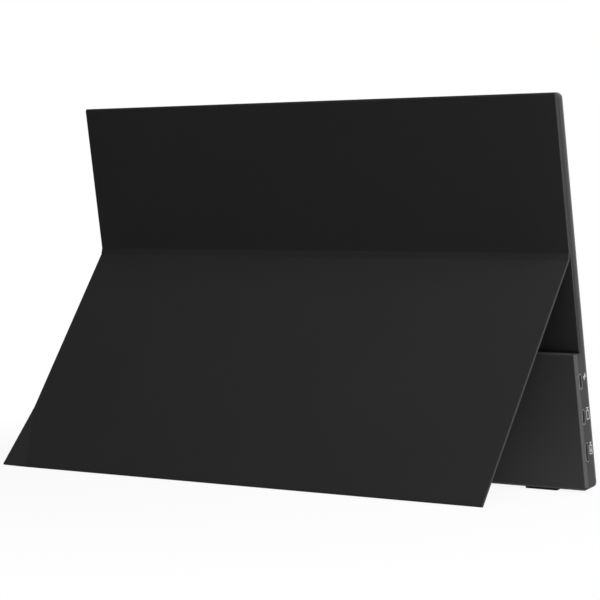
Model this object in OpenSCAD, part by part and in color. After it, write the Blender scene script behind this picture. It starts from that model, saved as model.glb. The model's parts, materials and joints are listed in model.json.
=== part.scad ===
// Portable monitor with a folding cover that wraps over its top edge and props it up.
// The screen faces -Y, the back faces +Y and the sockets are on the -X side.
// Device frame: x across, y out of the back, z up along the back, before the body leans.

/* [Stand] */
// Angle by which the body leans back
lean = 10.5; // [6:0.5:14]
// Angle between the flap and upright
stand_tilt = 32.1; // [24:0.1:38]

/* [Screen] */
// Width of the lit area
active_w = 344.2; // [300:0.1:380]
// Height of the lit area
active_h = 193.6; // [170:0.1:215]
// Border beside the lit area
side_border = 5.9; // [5.3:0.1:9]
// Border above the lit area
top_border = 6.3; // [5.8:0.1:9]
// Border below the lit area
chin = 26; // [24:0.5:34]
// How far the display cell reaches past the lit area at the sides and the top
cell_margin = 3.2; // [2.5:0.1:3.6]
// How far the display cell reaches below the lit area
cell_ledge = 9; // [7:0.5:10]
// Gap between the lit area and the bezel's lip
lip_gap = 0.5; // [0.2:0.1:0.8]
// Width of the side walls of the panel tray
tray_rim = 0.5; // [0.4:0.1:0.8]
// Height of the light strip below the light guide
led_h = 1.6; // [1.2:0.1:2]

/* [Layers of the thin part] */
// Thickness of the bezel's lip over the panel's edge
lip_t = 0.8; // [0.5:0.05:1]
// Thickness of the display cell
cell_t = 1.1; // [0.8:0.05:1.4]
// Thickness of the optical films
film_t = 0.5; // [0.3:0.05:0.8]
// Thickness of the light guide
guide_t = 0.8; // [0.4:0.05:1]
// Thickness of the reflector sheet
reflector_t = 0.15; // [0.1:0.05:0.3]
// Thickness of the panel tray
tray_t = 0.3; // [0.2:0.05:0.5]
// Thickness of the foam tape behind the tray
tape_t = 0.25; // [0.15:0.05:0.5]
// Thickness of the back wall
thin_wall = 1.0; // [0.6:0.05:1.2]
// Depth of the front bezel's rim
bezel_depth = 1.5; // [1.3:0.05:2.6]

/* [Housing] */
// Height of the thick lower part
bump_h = 79; // [71:0.5:90]
// Side walls of the back tray and the lower housing
wall = 1.2; // [1:0.05:1.5]
// Back wall of the thick part
bump_wall = 1.2; // [0.9:0.05:1.5]
// Radius of the body's corners
corner_r = 3.2; // [2.5:0.1:6]
// Bevel along the back edges of the thick part
bump_bevel = 1.2; // [0.8:0.1:1.6]
// Bevel along the thick part's upper edge
top_bevel = 0.3; // [0.2:0.05:0.6]
// Bevel along the back edges of the thin part
thin_bevel = 1.0; // [0.4:0.1:1.2]
// Bevel along the bezel's front edge
bezel_bevel = 0.3; // [0.2:0.05:0.6]

/* [Feet] */
// Length of a rubber foot
foot_l = 21.5; // [15:0.5:40]
// Width of a rubber foot from front to back
foot_w = 4.4; // [3:0.1:5]
// Height of a rubber foot
foot_h = 1.3; // [0.8:0.1:2.5]
// Distance of a foot's middle from the body's side
foot_inset = 32; // [20:0.5:40]

/* [Sockets and buttons] */
// Distance of the upper USB-C socket's middle below the thick part's top
socket_drop = 16; // [14:0.5:18]
// Distance between one socket's middle and the next
socket_pitch = 20.5; // [18:0.5:22]
// Length of a USB-C shell
usb_l = 8.94; // [8:0.02:10]
// Thickness of a socket's shell
usb_t = 3.2; // [2.8:0.05:3.6]
// Length of the video socket's shell
video_l = 11.2; // [10:0.1:12.5]
// Thickness of a socket's sheet metal
shell_t = 0.3; // [0.2:0.05:0.4]
// Depth of the sockets
socket_depth = 8.9; // [7:0.1:10]
// Clearance at each end of a socket's opening in the side wall
socket_gap = 0.15; // [0.1:0.05:0.2]
// Clearance at the front and the back of a socket's opening
socket_side_gap = 0.35; // [0.15:0.05:0.4]
// How far a socket's mouth lies behind the side face
socket_inset = 0.1; // [0.05:0.05:0.5]
// Radius of the headphone socket's bore
jack_r = 1.8; // [1.76:0.01:1.85]
// Height of the headphone socket's middle
jack_z = 14; // [12.5:0.5:15]
// Distance of the power button's middle below the thick part's top
power_drop = 16; // [14:0.5:18]
// Distance between the middles of the two buttons
button_pitch = 23; // [20:0.5:25]
// Length of the power button
power_l = 10; // [8:0.5:11]
// Travel of the power button
power_travel = 0.6; // [0.3:0.05:0.7]
// Length of the menu rocker
rocker_l = 16; // [12:0.5:18]
// Thickness of both buttons
button_t = 2.4; // [2:0.1:2.7]
// How far the buttons stand out of the side face
button_proud = 0.4; // [0.2:0.05:0.8]
// Clearance between a button and its slot
button_gap = 0.25; // [0.2:0.05:0.35]

/* [Boards and speakers] */
// Thickness of the circuit boards
board_t = 0.8; // [0.6:0.05:1]
// Width of the main board
board_w = 115; // [104:1:126]
// Length of a speaker
speaker_l = 40; // [30:1:44]
// Height of a speaker
speaker_h = 12; // [9:0.5:12.5]
// Thickness of a speaker
speaker_t = 4.3; // [3.5:0.1:4.8]
// Distance of a speaker's middle from the body's side
speaker_inset = 73; // [66:1:80]
// Number of sound slots below a speaker
slot_count = 10; // [4:1:12]
// Width of a sound slot
slot_w = 1; // [0.8:0.05:1.4]
// Distance from one sound slot to the next
slot_pitch = 3; // [2:0.1:3.5]

/* [Cover] */
// How far the cover stays inside the body's sides
cover_inset = 0; // [0:0.5:4]
// Thickness of the base panel on the body's back
base_t = 1.2; // [1:0.05:1.6]
// Gap between the base panel and the thick part below it
base_lower_gap = 1.0; // [0.4:0.1:4]
// Thickness of the upper panel and the flap
sheet_t = 1.3; // [1.1:0.05:1.6]
// Thickness of the two spine strips
strip_t = 1.2; // [0.8:0.05:1.2]
// How far the top fold's axis lies below the body's top edge
fold_drop = 0.55; // [0.4:0.05:2.4]
// Width of the spine strip that climbs past the body's top edge
rear_strip_w = 1.2; // [1.1:0.05:3.4]
// Length of the upper panel
upper_l = 82.4; // [76:0.1:90]
// Width of the crease strip between the upper panel and the flap
crease_w = 4.4; // [3.5:0.1:6]
// Thickness of the crease strip
crease_t = 1.0; // [0.8:0.05:1.1]
// Thickness of the outer skin of a panel
skin_t = 0.3; // [0.2:0.05:0.4]
// Thickness of the lining of a panel
lining_t = 0.25; // [0.2:0.05:0.3]
// Width of the skin's turned edge
turned_edge = 2.5; // [1.5:0.1:5]
// Length of a magnet
magnet_l = 20; // [14:0.5:24]
// Width of a magnet
magnet_w = 8; // [5:0.5:10]
// Distance of the outer magnets' middles from the cover's sides
magnet_inset = 38; // [30:0.5:45]
// Distance of the inner magnets' middles from the middle
magnet_mid = 60; // [50:1:70]
// Distance of the closing magnets' middles from the cover's sides
closing_inset = 28; // [24:0.5:32]

/* [Hidden] */
$fn = 64;
// Gap between the body and the base panel, and between the sheets folded onto each other
cover_gap = 0.1;
fold_gap = 0.1;
// How far a fold's axis stays off the sheet's face, and a panel's edge off its fold's axis
axis_gap = 0.05;
strip_edge_gap = 0.1;
crease_edge_gap = 0.25;
// Clearances inside the body and inside a panel
cell_gap = 0.3;
stack_gap = 0.3;
magnet_gap = 0.1;
panel_gap = 0.1;

// Size of the body
body_w = active_w + 2 * side_border;
body_h = top_border + active_h + chin;
thin_t = lip_t + cell_t + film_t + guide_t + reflector_t + tray_t + tape_t + thin_wall;
side_x = body_w / 2;
inner_x = side_x - wall;
bump_inner_top = bump_h - wall;

// Depths in the device frame, with the thin part's back at 0
front_y = -thin_t;
split_y = front_y + bezel_depth;
cell_y = front_y + lip_t;
film_y = cell_y + cell_t;
guide_y = film_y + film_t;
reflector_y = guide_y + guide_t;
tray_y = reflector_y + reflector_t;
tray_back = tray_y + tray_t;

// The main board stands off the tray by its screws' heads, and the thick part clears the sockets
head_r = 1.7;
head_t = 0.45;
head_room = 0.6;
socket_clear = 0.55;
board_front = tray_back + head_t + head_room;
board_back = board_front + board_t;
socket_y = board_back + usb_t / 2;
bump_in = board_back + usb_t + socket_clear;
bump_out = bump_in + bump_wall;

// Heights and widths of the screen's layers
active_top = body_h - top_border;
active_z = active_top - active_h;
cell_w = active_w + 2 * cell_margin;
cell_z = active_z - cell_ledge;
cell_top = active_top + cell_margin;
layer_w = cell_w - 2 * tray_rim - stack_gap;
layer_z = cell_z + tray_rim + stack_gap / 2 + led_h;
layer_top = cell_top - tray_rim - stack_gap / 2;
tape_w = 6;
tape_edge = 2;

// Speakers stand on the floor, and the main board starts above them
speaker_z = wall + 0.8;
speaker_y = bump_in - 0.2 - speaker_t;
speaker_x = side_x - speaker_inset;
slot_depth = 2.8;
board_x0 = -inner_x + 1.3;
board_x1 = board_x0 + board_w;
board_z0 = speaker_z + speaker_h + 1.5;
board_top = bump_inner_top - 5.8;

// Sockets from the top down
socket_zs = [for (i = [0:2]) bump_h - socket_drop - i * socket_pitch];

// Posts that carry the main board, and their screws
post_r = 2.2;
post_edge = 5;
post_inset = 14;
post_mid = 45;
post_lift = 20;
post_points = [
    [board_x0 + post_inset, (socket_zs[0] + socket_zs[1]) / 2],
    [board_x0 + post_inset, (socket_zs[1] + socket_zs[2]) / 2],
    [board_x1 - post_edge, board_z0 + post_lift], [board_x1 - post_edge, board_top - post_edge],
    [board_x0 + post_mid, board_top - post_edge]
];
screw_r = 0.75;
screw_hole_r = 0.8;
screw_floor = 0.4;

// Chips as [x, z, width, height, thickness] from the board's lower left corner
chip_sizes = [
    [62, 8, 9, 9, 1.0], [84, 8, 7, 5, 1.2], [26, 8, 6, 6, 1.1], [26, 26, 8, 8, 1.0],
    [90, 24, 5, 9, 2.2], [44, 8, 12, 4, 1.6], [97, 8, 4, 9, 2.0]
];
shield_from_side = 50;
shield_from_low = 22;
shield_x = board_x0 + shield_from_side;
shield_z = board_z0 + shield_from_low;
shield_l = 30;
shield_h = 2.2;
shield_w = 18;
shield_t = 0.2;

// Row driver board behind the chin, and its flat cable to the main board
driver_inset = 53;
driver_w = body_w - 2 * driver_inset;
driver_z0 = 3;
driver_below = 2.5;
driver_z1 = cell_z - cell_gap - driver_below;
driver_t = 0.7;
flex_w = 20;
flex_t = 0.3;
flex_x = board_x1 - 11.5;
flex_riser = cell_z - 2.2;
flex_tail = 10;
flex_start = 5;

// Headphone socket
jack_nose_r = 2.1;
jack_hole_r = jack_nose_r + 0.1;
jack_half_t = 2.25;
jack_half_h = 3;
jack_depth = 13;
jack_y = bump_in - jack_half_t - 0.05;

// Buttons with their flanges, and the switches' front measured back from the wall's inner face
power_z = bump_h - power_drop;
rocker_z = power_z - button_pitch;
button_y = socket_y;
flange_t = 1;
flange_edge = 0.8;
flange_extra = 1;
power_flange = 1.4;
rocker_flange = 1.9;
switch_back = 2.9;
switch_x = inner_x - switch_back;
switch_t = 2.2;
switch_l = 4.5;
switch_w = 5;
rocker_switch = 6;
post_back = switch_back - power_travel - 0.1;
button_board_w = 12;
button_board_low = 14;
button_board_high = 8;
button_post_edge = 2;
button_post_r = 1.5;

// Cover heights and depths at rest: the sheets fold down flat on the base panel
cover_w = body_w - 2 * cover_inset;
top_z = body_h - fold_drop;
base_face = cover_gap + base_t;
leather_y = base_face + fold_gap;
base_l = top_z - bump_h - base_lower_gap;

// Fold axes as [y, z] in the device frame at rest
fold1 = [base_face + fold_gap / 2, top_z];
fold2 = [leather_y + strip_t + axis_gap, top_z - rear_strip_w];
// When the cover is shut the rear strip has turned by this angle and leans out a little
rear_closed = 175;
// The top strip then spans the body from the second fold to the front sheet's clearance
front_clear = 0.35;
fold2_shut_y = fold1[0] + (fold2[0] - fold1[0]) * cos(rear_closed) + rear_strip_w * sin(rear_closed);
top_strip_w = fold2_shut_y - axis_gap - front_y + front_clear;
fold3 = [leather_y + sheet_t + axis_gap, fold2[1] - top_strip_w];
fold4 = [leather_y + sheet_t / 2, fold3[1] - upper_l];
// The crease strip takes half of the fold between the upper panel and the flap
fold_angle = lean + stand_tilt;
fold5 = fold4 + crease_w * [sin(fold_angle / 2), -cos(fold_angle / 2)];

// The feet's lower back edge and the flap's lower edge stand on the table
foot_edge = 0.2;
foot_back = bump_out - bump_bevel - foot_edge;
foot_x = side_x - foot_inset;
lift = foot_h * cos(lean) + foot_back * sin(lean);
fold5_h = lift + fold5[1] * cos(lean) - fold5[0] * sin(lean);
flap_l = (fold5_h - sheet_t / 2 * sin(stand_tilt)) / cos(stand_tilt);

// The origin is the middle of the whole part's box, on the table
flap_end_y = (fold5[0] * cos(lean) + fold5[1] * sin(lean))
    + flap_l * sin(stand_tilt) + sheet_t / 2 * cos(stand_tilt);
front_edge_y = front_y * cos(lean) + bezel_bevel * sin(lean);
shift_x = -button_proud / 2;
shift_y = -(flap_end_y + front_edge_y) / 2;

// Magnets of the folded sheets lie over each other
magnet_x = cover_w / 2 - magnet_inset;
magnet_xs = [-magnet_x, -magnet_mid, magnet_mid, magnet_x];
magnet_high = 24;
magnet_low = 70;
magnet_zs = [top_z - magnet_high, top_z - magnet_low];
function over(z0) = [for (x = magnet_xs, z = magnet_zs) [x, z - z0]];
base_points = over(top_z);
upper_points = over(fold3[1]);
// The closing magnets sit in the chin, and the flap's meet them when the cover is shut
closing_x = cover_w / 2 - closing_inset;
closing_z = 9;
flap_points = [for (side = [-1, 1]) [side * closing_x, closing_z + upper_l + crease_w - body_h]];
chin_magnet_t = 1.8;
upper_panel_l = upper_l - crease_edge_gap;

// Placement

// Stands the device on its feet, leaning back
module device() {
    translate([shift_x, shift_y, lift]) rotate([-lean, 0, 0]) children();
}

// Turns a drawing in x and z into a plate from depth y0 to depth y1
module plate(y0, y1) {
    translate([0, y1, 0]) rotate([90, 0, 0]) linear_extrude(y1 - y0) children();
}

// Puts a sheet's own frame at a fold axis, turned out by an angle
module at_fold(fold, angle = 0) {
    device() translate([0, fold[0], fold[1]]) rotate([angle, 0, 0]) children();
}

// Basic shapes

// A rectangle with round corners between heights z0 and z1
module round_rect(w, z0, z1, r) {
    translate([-w / 2 + r, z0]) square([w - 2 * r, z1 - z0]);
    translate([-w / 2, z0 + r]) square([w, z1 - z0 - 2 * r]);
    for (x = [-w / 2 + r, w / 2 - r], z = [z0 + r, z1 - r]) translate([x, z]) circle(r);
}

// A plain rectangle centred across, between heights z0 and z1
module rect(w, z0, z1) {
    translate([-w / 2, z0]) square([w, z1 - z0]);
}

// A slot with round ends, long along its first axis
module stadium(l, t) {
    square([l - t, t], center = true);
    for (side = [-1, 1]) translate([side * (l - t) / 2, 0]) circle(d = t);
}

// The upper end of a slab, down to z -l, with round corners and bevelled edges at depth y1
module bevelled_end(w, l, r, y0, y1, bevel) {
    half = w / 2;
    y_bevel = y1 - bevel;
    edge_row(w - 2 * r) polygon([[y0, 0], [y_bevel, 0], [y1, -bevel], [y1, -l], [y0, -l]]);
    translate([0, 0, -l]) linear_extrude(l - r) polygon([
        [-half, y0], [half, y0], [half, y_bevel], [half - bevel, y1], [bevel - half, y1], [-half, y_bevel]
    ]);
    for (side = [-1, 1]) translate([side * (half - r), 0, -r]) bevelled_corner(r, y0, y1, bevel);
}

// A whole slab of height h with bevelled edges at depth y1
module bevelled_slab(w, h, r, y0, y1, bevel) {
    translate([0, 0, h]) bevelled_end(w, h / 2, r, y0, y1, bevel);
    mirror([0, 0, 1]) bevelled_end(w, h / 2, r, y0, y1, bevel);
}

// Runs a profile drawn in y and z across x
module edge_row(l) {
    translate([-l / 2, 0, 0]) rotate([90, 0, 90]) linear_extrude(l) children();
}

module bevelled_corner(r, y0, y1, bevel) {
    translate([0, y0, 0]) rotate([-90, 0, 0]) {
        cylinder(r = r, h = y1 - bevel - y0);
        translate([0, 0, y1 - bevel - y0]) cylinder(r1 = r, r2 = r - bevel, h = bevel);
    }
}

// Monitor shells

// Shallow tray of the thin part: it is open behind the boards, where the lower housing closes it
module back_tray() color("#26272a") device() difference() {
    union() {
        translate([0, 0, body_h])
            bevelled_end(body_w, body_h - bump_h, corner_r, split_y, 0, thin_bevel);
        plate(split_y, 0) {
            round_rect(body_w, 0, 3 * corner_r, corner_r);
            rect(body_w, corner_r, bump_h);
        }
    }
    plate(split_y - 1, -thin_wall)
        round_rect(body_w - 2 * wall, wall, body_h - wall, corner_r - wall);
    plate(split_y - 1, 1) round_rect(body_w - 2 * wall, wall, bump_inner_top, corner_r - wall);
    jack_hole();
}

// Shell of the thick part with its wall slots and the board's posts
module lower_housing() color("#26272a") device() {
    difference() {
        mirror([0, 0, 1]) bevelled_end(body_w, bump_h, corner_r, 0, bump_out, bump_bevel);
        edge_row(body_w + 2) polygon([
            [bump_out - top_bevel - 1, bump_h + 1], [bump_out + 1, bump_h - top_bevel - 1],
            [bump_out + 1, bump_h + 1]
        ]);
        plate(-1, bump_in) round_rect(body_w - 2 * wall, wall, bump_inner_top, corner_r - wall);
        for (z = [socket_zs[0], socket_zs[1]])
            socket_slot(z) stadium(usb_l + 2 * socket_gap, usb_t + 2 * socket_side_gap);
        socket_slot(socket_zs[2])
            square([video_l + 2 * socket_gap, usb_t + 2 * socket_side_gap], center = true);
        button_slot(power_z, power_l);
        button_slot(rocker_z, rocker_l);
        jack_hole();
        for (side = [-1, 1]) speaker_slots(side * speaker_x);
    }
    board_posts();
}

module jack_hole() {
    translate([inner_x - 1, jack_y, jack_z]) rotate([0, 90, 0]) cylinder(r = jack_hole_r, h = wall + 2);
}

// Cuts a drawing in z and y through the side wall that holds the sockets
module socket_slot(z) {
    translate([-side_x - 1, socket_y, z]) along_x(wall + 2) children();
}

// Runs a drawing, long along z, across x
module along_x(l) {
    rotate([0, 90, 0]) linear_extrude(l) children();
}

module button_slot(z, l) {
    translate([inner_x - 1, button_y, z]) along_x(wall + 3)
        stadium(l + 2 * button_gap, button_t + 2 * button_gap);
}

module speaker_slots(x) {
    for (i = [0:slot_count - 1])
        translate([x + (i - (slot_count - 1) / 2) * slot_pitch - slot_w / 2, 0, -1])
            cube([slot_w, slot_depth, wall + 2]);
}

// Posts that carry the main board, with a blind hole for its screw
module board_posts() {
    for (p = post_points) translate([p[0], board_back, p[1]]) rotate([-90, 0, 0]) difference() {
        cylinder(r = post_r, h = bump_in - board_back + bump_wall / 2);
        translate([0, 0, -1]) cylinder(r = screw_hole_r, h = bump_in - board_back + 1 - screw_floor);
    }
}

// Front frame with its lip over the panel's edge and the wide chin below
module front_bezel() color("#1b1c1e") device() difference() {
    mirror([0, 1, 0]) bevelled_slab(body_w, body_h, corner_r, -split_y, -front_y, bezel_bevel);
    plate(front_y - 1, split_y + 1)
        rect(active_w + 2 * lip_gap, active_z - lip_gap, active_top + lip_gap);
    plate(cell_y, split_y + 1)
        rect(cell_w + 2 * cell_gap, cell_z - cell_gap, cell_top + cell_gap);
}

// Screen layers, from the front to the back

module display_cell() color("#0d0f12") device()
    plate(cell_y, film_y) rect(cell_w, cell_z, cell_top);

module optical_films() color("#d9dde0") device()
    plate(film_y, guide_y) rect(layer_w, layer_z, layer_top);

module light_guide() color("#e8eef2") device()
    plate(guide_y, reflector_y) rect(layer_w, layer_z, layer_top);

module reflector() color("#f2f2f0") device()
    plate(reflector_y, tray_y) rect(layer_w, layer_z, layer_top);

// Steel tray that holds the layers and draws the cover's magnets
module panel_tray() color("#8d9094") device() difference() {
    plate(film_y, tray_back) rect(cell_w, cell_z, cell_top);
    plate(film_y - 1, tray_y)
        rect(cell_w - 2 * tray_rim, cell_z + tray_rim, cell_top - tray_rim);
}

module led_strip() color("#f4f0d8") device()
    plate(guide_y, tray_y) rect(layer_w, layer_z - led_h, layer_z - stack_gap / 2);

// Foam tape between the tray and the housing's back wall
module tray_tape() color("#2c2c2c") device() {
    tape_z = bump_h + wall;
    tape_top = cell_top - tape_edge;
    plate(tray_back, -thin_wall) {
        rect(cell_w - 2 * tape_edge, tape_top - tape_w, tape_top);
        for (x = [-cell_w / 2 + tape_edge, -tape_w / 2, cell_w / 2 - tape_edge - tape_w])
            translate([x, tape_z]) square([tape_w, tape_top - tape_w - tape_z]);
    }
}

// Row driver board of the panel, behind the chin
module driver_board() color("#1f4d33") device() {
    plate(split_y, split_y + driver_t) rect(driver_w, driver_z0, driver_z1);
}

// Flat cable from the driver board up to the front of the main board
module display_flex() color("#b9772f") device() translate([flex_x, 0, 0]) edge_row(flex_w) {
    low = split_y + driver_t;
    start = driver_z0 + flex_start;
    tail = flex_riser + flex_tail;
    polygon([
        [low, start], [low, flex_riser + flex_t], [board_front - flex_t, flex_riser + flex_t],
        [board_front - flex_t, tail], [board_front, tail], [board_front, flex_riser],
        [low + flex_t, flex_riser], [low + flex_t, start]
    ]);
}

// Electronics in the thick part

module main_board() color("#1d4630") device() difference() {
    plate(board_front, board_back)
        translate([board_x0, board_z0]) square([board_w, board_top - board_z0]);
    for (p = post_points)
        translate([p[0], board_back + 1, p[1]]) rotate([90, 0, 0]) cylinder(r = 1, h = board_t + 2);
}

// Chips, coils and plugs on the back of the main board
module board_chips() color("#17181a") device()
    for (c = chip_sizes)
        translate([board_x0 + c[0], board_back, board_z0 + c[1]]) cube([c[2], c[4], c[3]]);

// Folded sheet-metal can over the picture processor
module board_shield() color("#a9adb1") device()
    translate([shield_x, board_back, shield_z]) difference() {
        cube([shield_l, shield_h, shield_w]);
        translate([shield_t, -1, shield_t])
            cube([shield_l - 2 * shield_t, shield_h + 1 - shield_t, shield_w - 2 * shield_t]);
    }

module board_screws() color("#6f7276") device()
    for (p = post_points) translate([p[0], board_front - head_t, p[1]]) rotate([-90, 0, 0]) {
        cylinder(r = head_r, h = head_t);
        cylinder(r = screw_r, h = head_t + board_t + bump_in - board_back - screw_floor - 0.4);
    }

// Sockets

module socket_place(z) {
    device() translate([-side_x + socket_inset, socket_y, z]) children();
}

// Sheet-metal shell with a contact tongue
module usb_socket(z) color("#9a9da1") socket_place(z) {
    difference() {
        along_x(socket_depth) stadium(usb_l, usb_t);
        translate([-1, 0, 0]) along_x(socket_depth)
            stadium(usb_l - 2 * shell_t, usb_t - 2 * shell_t);
    }
    translate([1.2, -0.35, -3.3]) cube([socket_depth - 1.6, 0.7, 6.6]);
}

module usb_c_upper() usb_socket(socket_zs[0]);

module usb_c_lower() usb_socket(socket_zs[1]);

// Outline of the small video socket, narrower at the side away from the board
module video_outline(grow = 0) {
    half_l = video_l / 2 + grow;
    half_t = usb_t / 2 + grow;
    polygon([
        [-half_l, -half_t], [half_l, -half_t], [half_l, half_t * 0.3], [half_l - 1.3, half_t],
        [-half_l + 1.3, half_t], [-half_l, half_t * 0.3]
    ]);
}

module mini_video_port() color("#9a9da1") socket_place(socket_zs[2]) {
    difference() {
        along_x(socket_depth) video_outline();
        translate([-1, 0, 0]) along_x(socket_depth) video_outline(-shell_t);
    }
    translate([1.2, -0.3, -3.6]) cube([socket_depth - 1.6, 0.6, 7.2]);
}

// Headphone socket with a round nose that fills its hole in the side wall
module headphone_jack() color("#1c1d1f") device() translate([inner_x, jack_y, jack_z]) difference() {
    union() {
        translate([-jack_depth, -jack_half_t, -jack_half_h])
            cube([jack_depth, 2 * jack_half_t, 2 * jack_half_h]);
        rotate([0, 90, 0]) cylinder(r = jack_nose_r, h = wall - 0.1);
    }
    translate([-jack_depth + 1, 0, 0]) rotate([0, 90, 0]) cylinder(r = jack_r, h = jack_depth + wall);
}

// Buttons

// Small board that carries the switches behind the buttons, on two posts from the back wall
module button_board() color("#1d4630") device() {
    switch_base = button_y - switch_t / 2;
    low = rocker_z - button_board_low;
    high = power_z + button_board_high;
    plate(switch_base - board_t, switch_base)
        translate([switch_x - button_board_w, low]) square([button_board_w, high - low]);
    for (z = [power_z, rocker_z - rocker_switch, rocker_z + rocker_switch])
        translate([switch_x - switch_l, switch_base, z - switch_w / 2]) cube([switch_l, switch_t, switch_w]);
    for (z = [low + button_post_edge, high - button_post_edge])
        translate([switch_x - button_board_w + button_post_edge, switch_base, z]) rotate([-90, 0, 0])
            cylinder(r = button_post_r, h = bump_in - switch_base);
}

// The cap that shows in the side wall
module button_cap(l, back) {
    translate([-back, 0, 0]) along_x(wall + button_proud + back) stadium(l, button_t);
}

// The flange that keeps the cap in its slot
module button_flange(l, back) {
    translate([-back, 0, 0]) along_x(flange_t) stadium(l + 2 * flange_edge, button_t + flange_extra);
}

module power_button() color("#111214") device() translate([inner_x, button_y, power_z]) {
    button_cap(power_l, power_flange);
    button_flange(power_l, power_flange);
    translate([-post_back, -0.6, -1.5]) cube([post_back - power_flange + flange_t / 2, 1.2, 3]);
}

module menu_rocker() color("#111214") device() translate([inner_x, button_y, rocker_z]) {
    button_cap(rocker_l, rocker_flange - 0.2);
    button_flange(rocker_l, rocker_flange);
}

// Speakers, magnets and feet

module speaker(x) color("#141517") device() translate([x, speaker_y, speaker_z]) difference() {
    translate([-speaker_l / 2, 0, 0]) cube([speaker_l, speaker_t, speaker_h]);
    translate([0, -1, speaker_h / 2]) rotate([-90, 0, 0]) linear_extrude(1.6)
        stadium(speaker_l - 6, speaker_h - 4);
}

module speaker_left() speaker(-speaker_x);

module speaker_right() speaker(speaker_x);

module closing_magnets() color("#7d8084") device()
    for (side = [-1, 1])
        translate([side * closing_x - magnet_l / 2, split_y, closing_z - magnet_w / 2])
            cube([magnet_l, chin_magnet_t, magnet_w]);

module foot(x) color("#0b0b0c") device() translate([x, foot_back - foot_w, -foot_h]) {
    translate([-foot_l / 2, 0, 0]) cube([foot_l, foot_w, foot_h]);
}

module foot_left() foot(-foot_x);

module foot_right() foot(foot_x);

// Cover sheets: in a sheet's own frame z runs down to -l, the skin is at y 0 and the lining at y t

module sheet_skin(l, t, start) {
    difference() {
        translate([-cover_w / 2, 0, -l]) cube([cover_w, t - lining_t, l - start]);
        translate([-cover_w / 2 + turned_edge, skin_t, -l + turned_edge])
            cube([cover_w - 2 * turned_edge, t, l - start - 2 * turned_edge]);
    }
}

module sheet_board(l, t, start, magnets) {
    edge = turned_edge + panel_gap;
    difference() {
        translate([-cover_w / 2 + edge, skin_t, -l + edge])
            cube([cover_w - 2 * edge, t - skin_t - lining_t, l - start - 2 * edge]);
        for (m = magnets) translate([m[0], 0, m[1]]) bar(magnet_gap, t);
    }
}

module sheet_lining(l, t, start) {
    translate([-cover_w / 2, t - lining_t, -l]) cube([cover_w, lining_t, l - start]);
}

module sheet_magnets(t, magnets) {
    for (m = magnets) translate([m[0], skin_t, m[1]]) bar(0, t - skin_t - lining_t);
}

module bar(gap, depth) {
    translate([-magnet_l / 2 - gap, 0, -magnet_w / 2 - gap])
        cube([magnet_l + 2 * gap, depth, magnet_w + 2 * gap]);
}

// The base panel's skin faces out and its lining lies on the body
module base_frame() {
    device() translate([0, base_face, top_z]) mirror([0, 1, 0]) children();
}

module base_skin() color("#1d1d1f") base_frame() sheet_skin(base_l, base_t, 0);

module base_board() color("#3a3733") base_frame() sheet_board(base_l, base_t, 0, base_points);

module base_lining() color("#202022") base_frame() sheet_lining(base_l, base_t, 0);

module base_magnets() color("#7d8084") base_frame() sheet_magnets(base_t, base_points);

// Spine strips, one behind the other over the body's top edge when the cover is shut
module spine_rear_strip() color("#1d1d1f") device()
    translate([-cover_w / 2, leather_y, fold2[1] + strip_edge_gap])
        cube([cover_w, strip_t, rear_strip_w - 2 * strip_edge_gap]);

module spine_top_strip() color("#1d1d1f") device()
    translate([-cover_w / 2, leather_y, fold3[1] + strip_edge_gap])
        cube([cover_w, strip_t, top_strip_w - 2 * strip_edge_gap]);

module upper_frame() {
    device() translate([0, leather_y, fold3[1]]) children();
}

module upper_skin() color("#1d1d1f") upper_frame() sheet_skin(upper_panel_l, sheet_t, strip_edge_gap);

module upper_board() color("#3a3733") upper_frame()
    sheet_board(upper_panel_l, sheet_t, strip_edge_gap, upper_points);

module upper_lining() color("#202022") upper_frame()
    sheet_lining(upper_panel_l, sheet_t, strip_edge_gap);

module upper_magnets() color("#7d8084") upper_frame() sheet_magnets(sheet_t, upper_points);

module crease_strip() color("#262628") at_fold(fold4, fold_angle / 2)
    translate([-cover_w / 2, -crease_t / 2, -crease_w + crease_edge_gap])
        cube([cover_w, crease_t, crease_w - 2 * crease_edge_gap]);

module flap_frame() {
    at_fold(fold5, fold_angle) translate([0, -sheet_t / 2, 0]) children();
}

module flap_skin() color("#1d1d1f") flap_frame() sheet_skin(flap_l, sheet_t, crease_edge_gap);

module flap_board() color("#3a3733") flap_frame()
    sheet_board(flap_l, sheet_t, crease_edge_gap, flap_points);

module flap_lining() color("#2b2b2d") flap_frame() sheet_lining(flap_l, sheet_t, crease_edge_gap);

module flap_magnets() color("#7d8084") flap_frame() sheet_magnets(sheet_t, flap_points);

back_tray();
lower_housing();
front_bezel();
display_cell();
optical_films();
light_guide();
reflector();
panel_tray();
led_strip();
driver_board();
display_flex();
tray_tape();
main_board();
board_chips();
board_shield();
board_screws();
usb_c_upper();
usb_c_lower();
mini_video_port();
headphone_jack();
button_board();
speaker_left();
speaker_right();
closing_magnets();
foot_left();
foot_right();
power_button();
menu_rocker();
base_skin();
base_board();
base_lining();
base_magnets();
spine_rear_strip();
spine_top_strip();
upper_skin();
upper_board();
upper_lining();
upper_magnets();
crease_strip();
flap_skin();
flap_board();
flap_lining();
flap_magnets();
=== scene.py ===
"""Portable monitor that leans back on its folding cover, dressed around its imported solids.

The device frame is x across, t out of the back and s up along the back, in millimetres.
The cover's sheet with its folds, the rubber feet, the socket contacts and the small marks beside
the sockets are made here. The monitor's solids stay and get their finishes.
"""

from __future__ import annotations

import json
import logging
import math
from collections.abc import Callable, Sequence
from dataclasses import dataclass
from enum import Enum
from typing import Any

import bmesh
import bpy
from mathutils import Matrix, Vector

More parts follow.
